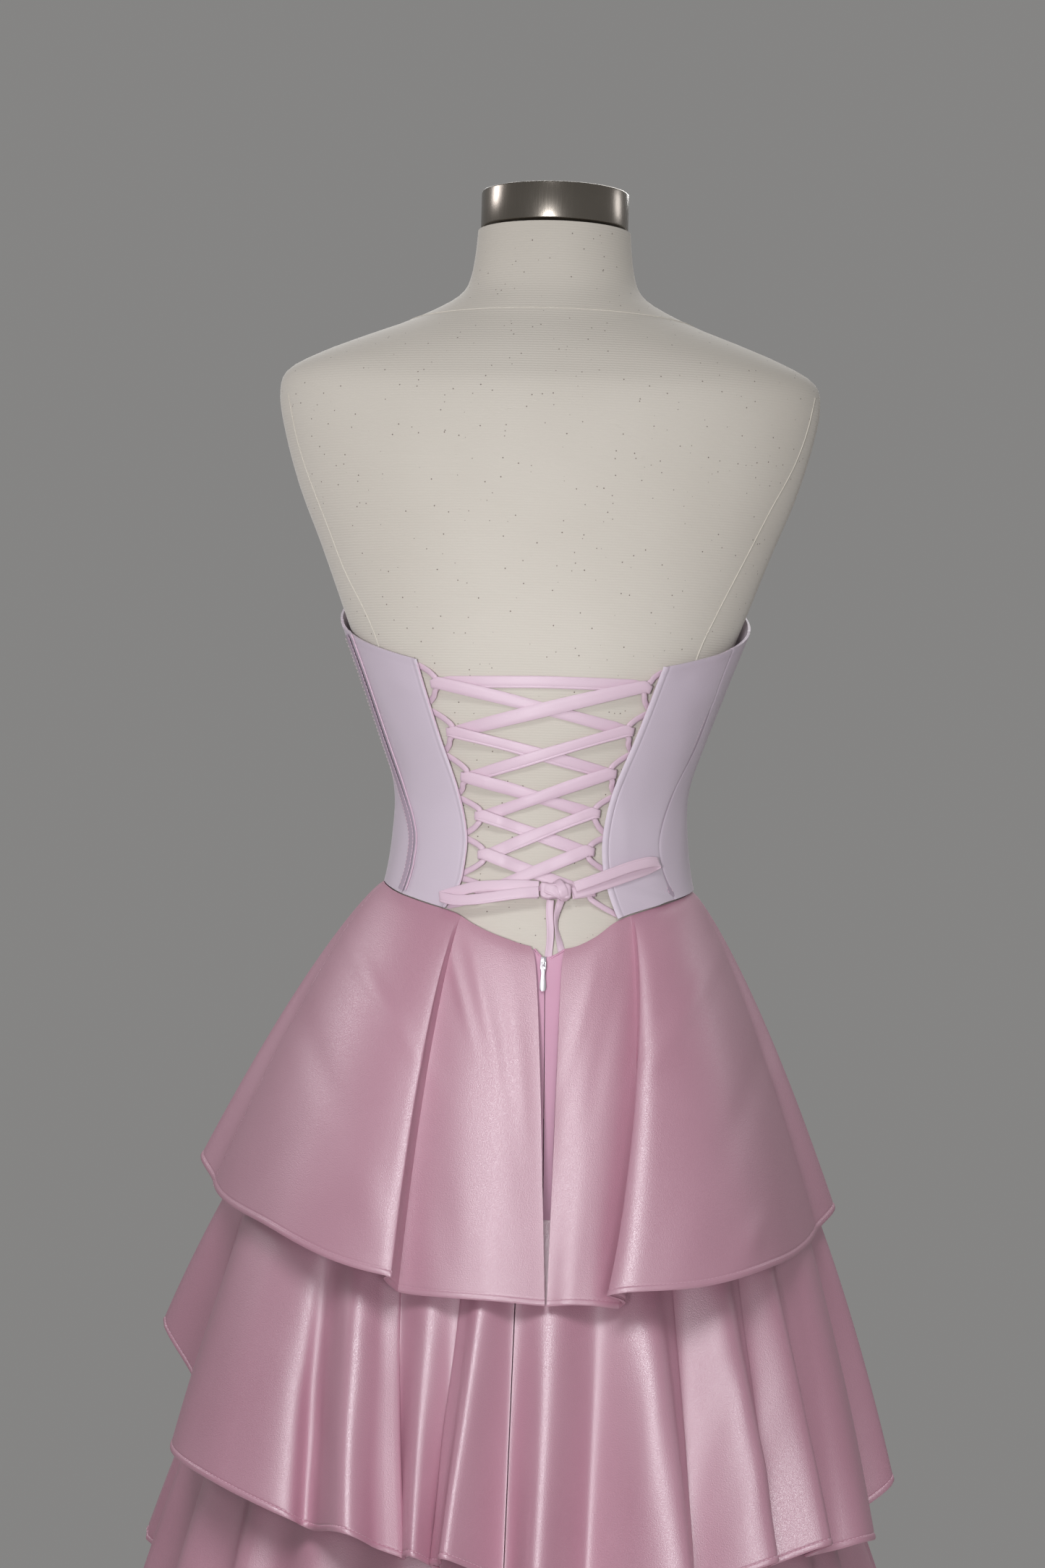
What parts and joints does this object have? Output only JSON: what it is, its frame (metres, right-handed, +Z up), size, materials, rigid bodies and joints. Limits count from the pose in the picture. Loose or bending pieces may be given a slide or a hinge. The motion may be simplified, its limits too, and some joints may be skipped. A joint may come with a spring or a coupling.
{
  "type": "high-low gown on a dress form",
  "caption": "Strapless high-low gown with a laced open back and four satin flounces, worn on a limbless dress form on a steel stand.",
  "frame": {"origin": "the middle of the stand's underside, on the floor", "axes": "+Z up the stand's post to the neck; -Y the way the wearer faces, +Y the laced back; +X the wearer's left"},
  "size_m": [0.734, 0.7471, 1.507],
  "materials": {
    "bodice_satin": "matte satin",
    "lace_satin": "matte satin",
    "skirt_satin": "satin with a soft sheen",
    "underskirt_satin": "matte satin",
    "form_jersey": "fine jersey",
    "nickel": "brushed nickel",
    "silver": "silver-coloured, satin",
    "black_paint": "satin black paint"
  },
  "bodies": {
    "gown_and_form": {"bodice_back_left": "bodice_satin", "bodice_back_right": "bodice_satin", "bodice_front": "bodice_satin", "bodice_side_back_left": "bodice_satin", "bodice_side_back_right": "bodice_satin", "bodice_side_front_left": "bodice_satin", "bodice_side_front_right": "bodice_satin", "boning_channel_left": "bodice_satin", "boning_channel_right": "bodice_satin", "bow_knot": "lace_satin", "bow_loop_left": "lace_satin", "bow_loop_right": "lace_satin", "form_torso": "form_jersey", "lace": "lace_satin", "lace_tail_left": "lace_satin", "lace_tail_right": "lace_satin", "loops_left": "lace_satin", "loops_right": "lace_satin", "neck_cap": "nickel", "stand_base": "black_paint", "stand_post": "nickel", "tier_1_back_left": "skirt_satin", "tier_1_back_right": "skirt_satin", "tier_1_front": "skirt_satin", "tier_2_back_left": "skirt_satin", "tier_2_back_right": "skirt_satin", "tier_2_front": "skirt_satin", "tier_3_back_left": "skirt_satin", "tier_3_back_right": "skirt_satin", "tier_3_front": "skirt_satin", "tier_4_back_left": "skirt_satin", "tier_4_back_right": "skirt_satin", "tier_4_front": "skirt_satin", "underskirt_back_left": "underskirt_satin", "underskirt_back_right": "underskirt_satin", "underskirt_front": "underskirt_satin", "zip_coil_left": "underskirt_satin", "zip_coil_right": "underskirt_satin", "zip_slider": "silver"},
    "zip_pull": {"zip_pull": "silver"}
  },
  "joints": [
    {"name": "zip_pull_swing", "type": "hinge", "parent": "gown_and_form", "child": "zip_pull", "pos_m": [-0.0052, 0.11184, 0.91482], "axis": [1, 0, 0], "range_deg": [0, 150]}
  ]
}
